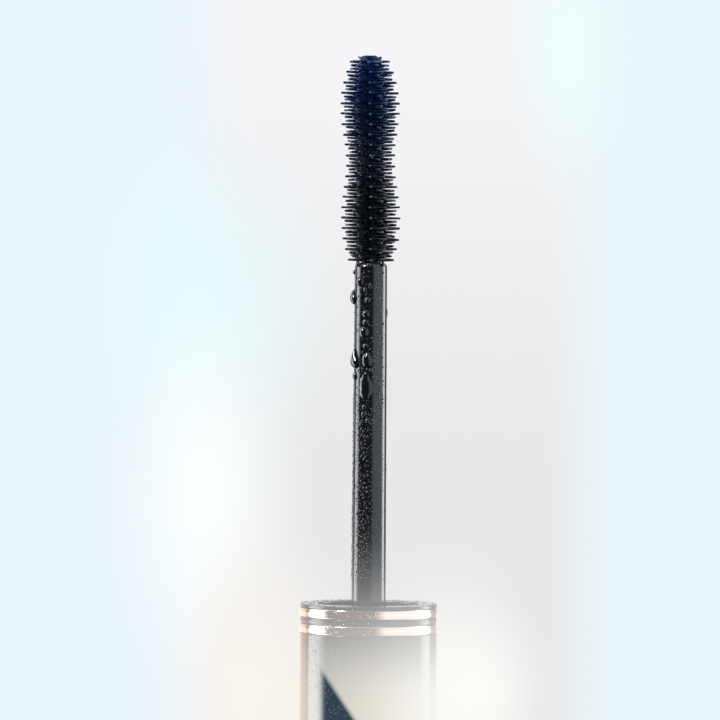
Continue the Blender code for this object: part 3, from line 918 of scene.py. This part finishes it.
class Drops:
    """Drops that lie on surfaces, gathered into one mesh."""

    def __init__(self):
        self.points = []
        self.faces = []

    def add(self, place, width, length, height, point=0.0, ragged=0.0, sides=28, rings=8):
        """One closed drop. place(across, along, above) gives the point in space.

        width and length are half sizes. point draws the upper end out, and ragged makes the outline uneven.
        """
        outline = drop_outline(width, length, point, ragged, sides)
        narrow = min(width, length)
        shares = [sin(pi / 2 * ring / rings) for ring in range(1, rings + 1)]
        top = self.layer(place, outline, shares, lambda share: dome(share, narrow, height))
        bottom = self.layer(place, outline, shares[:-1], lambda share: DROP_LIFT)
        rim = top + 1 + (rings - 1) * sides
        self.close(top, rings, sides, False)
        self.close(bottom, rings - 1, sides, True)
        inner = bottom + 1 + (rings - 2) * sides
        for side in range(sides):
            following = (side + 1) % sides
            self.faces.append((inner + side, inner + following, rim + following, rim + side))

    def layer(self, place, outline, shares, above):
        """Points of a middle and of the rings round it. Returns the middle's index."""
        middle = len(self.points)
        self.points.append(place(0.0, 0.0, above(0.0)))
        for share in shares:
            for across, along in outline:
                self.points.append(place(across * share, along * share, above(share)))
        return middle

    def close(self, middle, rings, sides, underside):
        """Faces of a layer, turned down on the underside."""
        for side in range(sides):
            following = (side + 1) % sides
            patch = [(middle, middle + 1 + side, middle + 1 + following)]
            for ring in range(rings - 1):
                inner = middle + 1 + ring * sides
                outer = inner + sides
                patch.append((inner + side, outer + side, outer + following, inner + following))
            for face in patch:
                self.faces.append(tuple(reversed(face)) if underside else face)

    def piece(self, name, slot, surface):
        """The mesh object."""
        obj = new_piece(name, self.points, self.faces, surface)
        obj.data.set_sharp_from_angle(angle=radians(50))
        return settle(obj, "applicator", slot)


def drop_outline(width, length, point, ragged, sides):
    """(across, along) points round a drop."""
    seed = width * 31.7 + length * 17.3
    outline = []
    for side in range(sides):
        angle = 2 * pi * side / sides
        upper = max(0.0, sin(angle))
        wave = noise.noise(Vector((2.2 * cos(angle), 2.2 * sin(angle), seed)))
        uneven = 1 + 2 * ragged * wave
        across = width * cos(angle) * (1 - 0.55 * point * upper) * uneven
        along = length * sin(angle) * (1 + point * upper**4) * uneven
        outline.append((across, along))
    return outline


def on_cylinder(radius, heading, z):
    """A place function for the side of an upright cylinder, in degrees from the camera's side."""

    def place(across, along, above):
        angle = radians(heading) + across / radius
        reach = radius + above
        return (reach * sin(angle), -reach * cos(angle), z + along)

    return place


def on_top(radius, heading, z):
    """A place function for a level face."""
    angle = radians(heading)
    x, y = radius * sin(angle), -radius * cos(angle)

    def place(across, along, above):
        return (x + across, y + along, z + above)

    return place


# Drops on the stem: height above the rim, heading, half width, half length, thickness, point, raggedness.
# Those that end early have no point or are not ragged.
STEM_DROPS = (
    (44.5, -52, 0.34, 0.4, 0.34),
    (44.4, -8, 0.3, 0.3, 0.26, 0.0, 0.1),
    (44.5, 46, 0.34, 0.36, 0.3),
    (43.4, -86, 0.3, 0.34, 0.26),
    (42.2, -42, 0.62, 0.68, 0.42),
    (41.2, -20, 0.27, 0.33, 0.15),
    (41.6, -2, 0.26, 0.4, 0.14, 0.2),
    (40.0, -80, 0.8, 0.86, 0.62, 0.4),
    (39.8, -11, 0.42, 0.42, 0.24),
    (38.0, -17, 0.52, 0.52, 0.28),
    (38.1, 88, 0.22, 0.55, 0.12),
    (36.9, -18, 0.46, 0.42, 0.25),
    (35.6, -25, 0.72, 0.74, 0.38),
    (33.8, -17, 0.42, 0.34, 0.21),
    (31.75, -64, 1.1, 1.0, 0.64, 0.8),
    (31.9, -11, 0.76, 0.84, 0.3, 0.3, 0.08),
    (30.6, 3, 0.28, 0.34, 0.15),
    (29.8, -64, 0.46, 0.62, 0.34),
    (28.4, -16, 0.98, 1.62, 0.26, 0.2, 0.1),
    (26.3, -41, 0.25, 0.27, 0.16),
    (25.8, -21, 0.32, 0.34, 0.18),
    (24.8, -24, 0.28, 0.42, 0.16),
    (24.0, -8, 0.3, 0.36, 0.17),
    (23.6, -32, 0.28, 0.32, 0.17),
)
# Fields of small beads on the stem: count, lowest and highest share of the way up, headings, half sizes
BEAD_FIELDS = (
    (330, 0.0, 0.56, -46, 12, 0.12, 0.20),
    (600, 0.0, 0.56, -44, 14, 0.045, 0.10),
    (420, 0.0, 0.6, -92, -61, 0.08, 0.15),
    (90, 0.0, 0.6, -60, -46, 0.06, 0.13),
    (90, 0.56, 1.0, -60, 14, 0.10, 0.17),
    (420, 0.56, 1.0, -92, 14, 0.04, 0.09),
    (120, 0.52, 1.0, 13, 54, 0.09, 0.18),
    (300, 0.52, 1.0, 13, 54, 0.045, 0.09),
    (260, 0.0, 0.8, 14, 60, 0.035, 0.085),
    (120, 0.0, 1.0, 60, 120, 0.035, 0.08),
    (260, 0.0, 1.0, 120, 268, 0.05, 0.12),
)
STEM_BEADS_START = 2.7
STEM_BEADS_END = 0.9
FINE_BEAD = 0.11
DROP_LIFT = 0.01
RIM_BEADS = 200
SHELL_BEADS = 1100
BAND_BEADS = 130
BRUSH_BEADS = 90


def fits(placed, heading, z, width, length):
    """Whether a drop would keep clear of those already placed. It joins them if it does."""
    for other_heading, other_z, other_width, other_length in placed:
        away = (z - other_z) / (length + other_length)
        if abs(away) >= 1:
            continue
        across = STEM_TIP_RADIUS * radians(heading - other_heading) / (width + other_width)
        if across * across + away * away < 1:
            return False
    placed.append((heading, z, width, length))
    return True


def stem_drops(surface):
    """The large drops on the upper stem. Returns where they are."""
    drops = Drops()
    placed = []
    for above_rim, heading, width, length, height, *shape in STEM_DROPS:
        z = RIM_Z + above_rim
        point = shape[0] if shape else 0.0
        drops.add(on_cylinder(stem_radius(z), heading, z), width, length, height, *shape)
        placed.append((heading, z + 0.5 * point * length, width, length * (1 + 0.5 * point)))
    drops.piece("stem_drops", "stem_black_gloss", surface)
    return placed


def stem_condensation(surface, placed, rng):
    """Small beads between the large drops and down the stem, which do not touch each other."""
    drops = Drops()
    low = RIM_Z + STEM_BEADS_START
    high = STEM_TOP - STEM_BEADS_END
    for count, start, end, left, right, small, large in BEAD_FIELDS:
        for _ in range(count):
            z = low + (high - low) * rng.uniform(start, end)
            heading = rng.uniform(left, right)
            size = rng.uniform(small, large)
            length = size * rng.uniform(0.9, 1.3)
            height = size * rng.uniform(0.5, 0.72)
            if fits(placed, heading, z, size, length):
                place = on_cylinder(stem_radius(z), heading, z)
                sides, rings = (12, 4) if size > FINE_BEAD else (8, 3)
                drops.add(place, size, length, height, sides=sides, rings=rings)
    drops.piece("stem_condensation", "stem_black_gloss", surface)


def cap_condensation(on_black, clear, rng):
    """Small beads on the black rim and shell, and clear ones on the trim bands."""
    black = Drops()
    for _ in range(RIM_BEADS):
        place = on_top(rng.uniform(6.9, 8.8), rng.uniform(-180, 180), RIM_Z)
        size = rng.uniform(0.05, 0.14)
        black.add(place, size, size, size * 0.4, sides=14, rings=5)
    bands_low = extent("band_lower")[1]
    for _ in range(SHELL_BEADS):
        z = bands_low - 0.2 - abs(rng.gauss(0, 12.0))
        if z < CAP_FOOT + 2:
            continue
        size = rng.uniform(0.04, 0.12)
        heading = rng.choice((rng.gauss(-32, 16), rng.uniform(-180, 180)))
        place = on_cylinder(CAP_RADIUS, heading, z)
        black.add(place, size, size * rng.uniform(1.0, 1.3), size * 0.5, sides=8, rings=3)
    black.piece("cap_condensation", "cap_black_gloss", on_black)
    gold = Drops()
    for _ in range(BAND_BEADS):
        heading = rng.choice((rng.gauss(-26, 10), rng.gauss(6, 6), rng.uniform(-180, 180)))
        z = rng.uniform(bands_low + 0.1, RIM_Z - 0.1)
        size = rng.uniform(0.06, 0.17)
        place = on_cylinder(CAP_RADIUS - BAND_CROWN, heading, z)
        gold.add(place, size, size * 1.1, size * 0.5, sides=12, rings=4)
    gold.piece("band_condensation", "upper_band_rose_gold", clear)


def brush_drops(surface, rng):
    """Clear beads caught between the bristles near the core, mostly on the left."""
    drops = Drops()
    for _ in range(BRUSH_BEADS):
        z = STEM_TOP + 0.2 + (BRUSH_TIP - STEM_TOP - 1.7) * rng.random() ** 1.3
        size = rng.uniform(0.09, 0.2)
        place = on_cylinder(CORE_RADIUS + rng.uniform(0.0, 0.5), rng.triangular(-115, 20, -62), z)
        drops.add(place, size, size, size * 0.95, sides=14, rings=6)
    lean(drops.piece("brush_drops", "brush_elastomer", surface))


# ---- stage

PALE_SIDE = (0.831, 0.922, 0.965)
PALE_TOP = (0.92, 0.915, 0.935)
PALE_MIDDLE = (0.81, 0.81, 0.812)
# Glows on the backdrop, in shares of the view: centre, radii, colour, strength
GLOWS = (
    ((0.79, 0.93), (0.1, 0.24), (0.85, 0.99, 0.99), 0.9),
    ((0.3, 0.58), (0.2, 0.3), (0.8, 0.98, 1.0), 0.8),
    ((0.29, 0.31), (0.16, 0.34), (0.97, 1.0, 1.0), 0.95),
    ((0.36, 0.05), (0.17, 0.26), (0.99, 0.93, 0.87), 0.95),
    ((0.66, 0.04), (0.12, 0.16), (0.97, 0.97, 0.95), 0.95),
)
# Soft boxes of the studio: the headings that they rise and fall through, the height that they fill, radiance
PANEL = ((8, 34), (93, 97))
BOXES = (
    ((-118, -110), (-96, -74), "high", 7.6),
    ((-124, -117), (-96, -73), "low", 9.6),
    ((91, 106), (116, 131), "high", 7.6),
    ((94, 109), (119, 134), "low", 8.6),
    (*PANEL, "upright", 1.65),
    ((-180, -172), (-135, -127), "high", 0.9),
    ((-179, -173), (-131, -125), "low", 2.2),
    ((128, 134), (169, 175), "high", 0.12),
    ((128, 134), (169, 175), "low", 0.3),
)
CEILING_RADIANCE = 3.2
BEHIND_RADIANCE = 0.85
KEY_RADIANCE = 60.0
LEAST_RADIANCE = 0.13


def glow(tree, colour, across, up, centre, radius, tint, strength):
    """The colour with a soft round patch of light on it."""
    dx = maths(tree, "DIVIDE", maths(tree, "SUBTRACT", across, centre[0]), radius[0])
    dy = maths(tree, "DIVIDE", maths(tree, "SUBTRACT", up, centre[1]), radius[1])
    square = maths(tree, "ADD", times(tree, dx, dx), times(tree, dy, dy))
    share = ramp(tree, maths(tree, "SQRT", square), 0.0, 1.0, strength, 0.0)
    return mix(tree, share, colour, tint)


def backdrop(tree):
    """The pale background that the camera sees: cool at the sides, with faint glows."""
    across, up, _ = coordinates(tree, "Window")
    colour = mix(tree, ramp(tree, up, 0.3, 1.0), PALE_MIDDLE, PALE_TOP)
    aside = maths(tree, "ABSOLUTE", maths(tree, "SUBTRACT", across, 0.55))
    colour = mix(tree, ramp(tree, aside, 0.2, 0.31), colour, PALE_SIDE)
    for centre, radius, tint, strength in GLOWS:
        colour = glow(tree, colour, across, up, centre, radius, tint, strength)
    return colour


def studio(tree):
    """(colour, radiance) of the room that the object reflects: tall soft boxes at its sides."""
    x, y, z = coordinates(tree, "Generated")
    heading = maths(tree, "DEGREES", maths(tree, "ARCTAN2", x, times(tree, y, -1.0)))
    elevation = maths(tree, "DEGREES", maths(tree, "ARCSINE", z))
    upright = slab(tree, elevation, (-58, -42), (47, 63))
    low = slab(tree, elevation, (-7.5, -6.5), (-3.4, -3.1))
    heights = {"upright": upright, "low": low, "high": maths(tree, "SUBTRACT", upright, low)}
    total = times(tree, ramp(tree, elevation, 55, 75), CEILING_RADIANCE)
    for rise, fall, height, radiance in BOXES:
        lit = times(tree, slab(tree, heading, rise, fall), heights[height])
        total = raised(tree, total, lit, radiance)
    wrap = maths(tree, "SUBTRACT", 1.0, slab(tree, heading, (-177, -167), (163, 173)))
    total = raised(tree, total, times(tree, wrap, upright), BEHIND_RADIANCE)
    key = times(tree, slab(tree, heading, (-64, -61), (-48, -45)), slab(tree, elevation, (26, 29), (42, 45)))
    total = raised(tree, total, key, KEY_RADIANCE)
    peach = times(tree, slab(tree, heading, (-180, -176), (-126, -104)), low)
    colour = mix(tree, peach, (0.98, 1.0, 1.03), (1.0, 0.58, 0.45))
    colour = mix(tree, slab(tree, heading, *PANEL), colour, (0.78, 0.9, 1.02))
    return colour, maths(tree, "ADD", total, LEAST_RADIANCE)


def light_the_scene():
    """One world: the pale backdrop for the camera, the studio for everything else."""
    world = bpy.data.worlds.new("studio")
    world.use_nodes = True
    tree = world.node_tree
    tree.nodes.clear()
    seen = add(tree, "LightPath").outputs["Is Camera Ray"]
    colour, radiance = studio(tree)
    room = add(tree, "Background", {"Color": colour, "Strength": radiance})
    pale = add(tree, "Background", {"Color": backdrop(tree)})
    both = add(tree, "MixShader", {0: seen, 1: room.outputs[0], 2: pale.outputs[0]})
    output = add(tree, "OutputWorld", {"Surface": both.outputs[0]})
    output.is_active_output = True
    bpy.context.scene.world = world


def floor():
    """A pale matte disc that fades out before its edge."""
    points = [(0, 0, 0)]
    for i in range(FLOOR_SIDES):
        angle = 2 * pi * i / FLOOR_SIDES
        points.append((FLOOR_RADIUS * cos(angle), FLOOR_RADIUS * sin(angle), 0))
    faces = [(0, 1 + i, 1 + (i + 1) % FLOOR_SIDES) for i in range(FLOOR_SIDES)]
    made, tree, where = principled("pale_floor")
    cloud = grain(tree, where, 0.02, 4.0)
    colour = mix(tree, cloud, (0.29, 0.293, 0.297), (0.305, 0.308, 0.312))
    relief = bump(tree, grain(tree, where, 1.2), 0.03)
    shader = connect(tree, Base_Color=colour, Roughness=0.7, Normal=relief)
    away = add(tree, "VectorMath", {0: where}, operation="LENGTH").outputs["Value"]
    share = ramp(tree, away, 0.25 * FLOOR_RADIUS, 0.95 * FLOOR_RADIUS, 1.0, 0.0)
    clear = add(tree, "BsdfTransparent")
    both = add(tree, "MixShader", {0: share, 1: clear.outputs[0], 2: shader.outputs[0]})
    tree.links.new(both.outputs[0], tree.nodes["Material Output"].inputs["Surface"])
    disc = new_piece("floor", points, faces, made)
    disc.visible_glossy = False


def set_camera():
    """A long lens at the camera's side, a little above what it looks at and rolled a little."""
    data = bpy.data.cameras.new("camera")
    data.sensor_width = SENSOR
    data.lens = SENSOR * CAMERA_DISTANCE / VIEW_WIDTH
    data.clip_start, data.clip_end = (reach * MM for reach in CAMERA_REACH)
    camera = bpy.data.objects.new("camera", data)
    bpy.context.scene.collection.objects.link(camera)
    target = Vector((AIM_ASIDE, 0, RIM_Z + AIM_ABOVE_RIM)) * MM
    height = RIM_Z + CAMERA_DISTANCE * tan(RIM_ELEVATION)
    camera.location = Vector((AIM_ASIDE, -CAMERA_DISTANCE, height)) * MM
    facing = (target - camera.location).to_track_quat("-Z", "Y")
    camera.rotation_mode = "QUATERNION"
    camera.rotation_quaternion = facing @ Quaternion((0, 0, 1), CAMERA_ROLL)
    bpy.context.scene.camera = camera
    return camera


def painted_glow_pattern(tree):
    """(share, colour) of the painted white glow: thickest at the bottom, with a notch where it nearly stops
    and the little glow left is painted bluish.
    """
    across, up, _ = coordinates(tree, "Window")
    amount = maths(tree, "POWER", ramp(tree, up, 0.02, 0.3, 0.88, 0.0), 1.4)
    amount = times(tree, amount, ramp(tree, across, 0.4, 0.6, 0.72, 1.12))
    amount = times(tree, amount, slab(tree, across, (0.27, 0.41), (0.61, 0.75)))
    slope = maths(tree, "SUBTRACT", across, times(tree, maths(tree, "SUBTRACT", 0.067, up), 0.667))
    # The notch, where the painted glow almost stops and what is left of it is painted bluish
    inside = times(tree, ramp(tree, across, 0.438, 0.452), ramp(tree, slope, 0.442, 0.454, 1.0, 0.0))
    amount = times(tree, amount, maths(tree, "SUBTRACT", 1.0, times(tree, inside, 0.89)))
    tint = mix(tree, ramp(tree, up, 0.0, 0.17), (0.95, 0.915, 0.82), (0.87, 0.865, 0.855))
    tint = mix(tree, ramp(tree, across, 0.52, 0.61), tint, (0.97, 0.96, 0.93))
    return amount, mix(tree, ramp(tree, inside, 0.5, 1.0), tint, (0.36, 0.6, 0.84))


def painted_glow_card(camera):
    """A card in front of the lens, which only that camera sees, that paints a graduated white glow over the
    view.
    """
    bpy.context.view_layer.update()
    half = GLOW_CARD_OVERLAP / 2 * GLOW_CARD_GAP * VIEW_WIDTH / CAMERA_DISTANCE
    corners = [(-half, -half), (half, -half), (half, half), (-half, half)]
    made = bpy.data.materials.new("painted_glow_card")
    made.use_nodes = True
    tree = made.node_tree
    tree.nodes.clear()
    amount, tint = painted_glow_pattern(tree)
    rays = add(tree, "LightPath")
    near = maths(tree, "LESS_THAN", rays.outputs["Ray Length"], 2 * GLOW_CARD_GAP * MM)
    seen = times(tree, near, rays.outputs["Is Camera Ray"])
    clear = add(tree, "BsdfTransparent")
    # This Emission is the painted white glow, mixed over what the camera sees
    haze = add(tree, "Emission", {"Color": tint})
    both = add(tree, "MixShader", {0: times(tree, amount, seen), 1: clear.outputs[0], 2: haze.outputs[0]})
    add(tree, "OutputMaterial", {"Surface": both.outputs[0]})
    card = new_piece("painted_glow_card", [(x, y, -GLOW_CARD_GAP) for x, y in corners], [(0, 1, 2, 3)], made)
    card.matrix_world = camera.matrix_world
    for kind in ("diffuse", "glossy", "transmission", "volume_scatter", "shadow"):
        setattr(card, "visible_" + kind, False)


# ---- the whole object


def build_cap():
    """The cap's pieces. Its weight keeps the CAD mesh."""
    rim = gloss_plastic("rim_gloss", *RIM_BLACKS, 0.12)
    gold = rose_gold("polished_rose_gold")
    cap_shell(gloss_plastic("cap_gloss", *SHELL_BLACKS, 0.05))
    inner_cap(rim)
    for name, node, surface, slot in (
        ("upper_band", "band_upper", gold, "upper_band_rose_gold"),
        ("band_gap_ring", "band_spacer", rim, "spacer_black"),
        ("lower_band", "band_lower", gold, "lower_band_rose_gold"),
    ):
        trim_ring(name, node, surface, "applicator", slot, CAP_RADIUS - BAND_SEAT_DEPTH + HAIR, HAIR)
    cap_liner(foam("washer_foam"))
    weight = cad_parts["cap_weight"]
    weight.data.materials.clear()
    weight.data.materials.append(brushed_steel("turned_steel"))


def build_wand(rng):
    """The stem, the brush and the water on them and on the cap."""
    clear = water("clear_water")
    on_black = wet_black("water_on_black")
    stem(gloss_plastic("stem_gloss", *STEM_BLACKS, 0.06))
    brush_core(elastomer("core_rubber", 0.1))
    bristles(elastomer("bristle_rubber", 0.7), rng)
    placed = stem_drops(on_black)
    stem_condensation(on_black, placed, rng)
    cap_condensation(on_black, clear, rng)
    brush_drops(clear, rng)


def build_bottle():
    """The bottle, its wiper and the product."""
    sleeve = gloss_plastic("bottle_gloss", *SHELL_BLACKS, 0.05)
    vial(natural_plastic("vial_plastic", (0.34, 0.35, 0.37), (0.28, 0.29, 0.31), 0.15, 0.25))
    collar = rose_gold("collar_rose_gold")
    inner = NECK_CREST + 2 * HAIR
    trim_ring("shoulder_ring", "bottle_collar", collar, "bottle", "collar_rose_gold", inner, CRISP)
    bottle_shell(sleeve)
    base_plug(sleeve)
    sleeve_plastic = natural_plastic("wiper_plastic", (0.42, 0.42, 0.41), (0.36, 0.36, 0.35), 0.25, 0.35)
    lip_plastic = natural_plastic("lip_plastic", (0.34, 0.34, 0.33), (0.29, 0.29, 0.28), 0.1, 0.5)
    wiper(sleeve_plastic, lip_plastic)
    formula(wet_paste("product_paste"))


build_cap()
build_wand(random.Random(11))
build_bottle()
light_the_scene()
floor()
painted_glow_card(set_camera())
bpy.context.scene.view_settings.view_transform = "Standard"
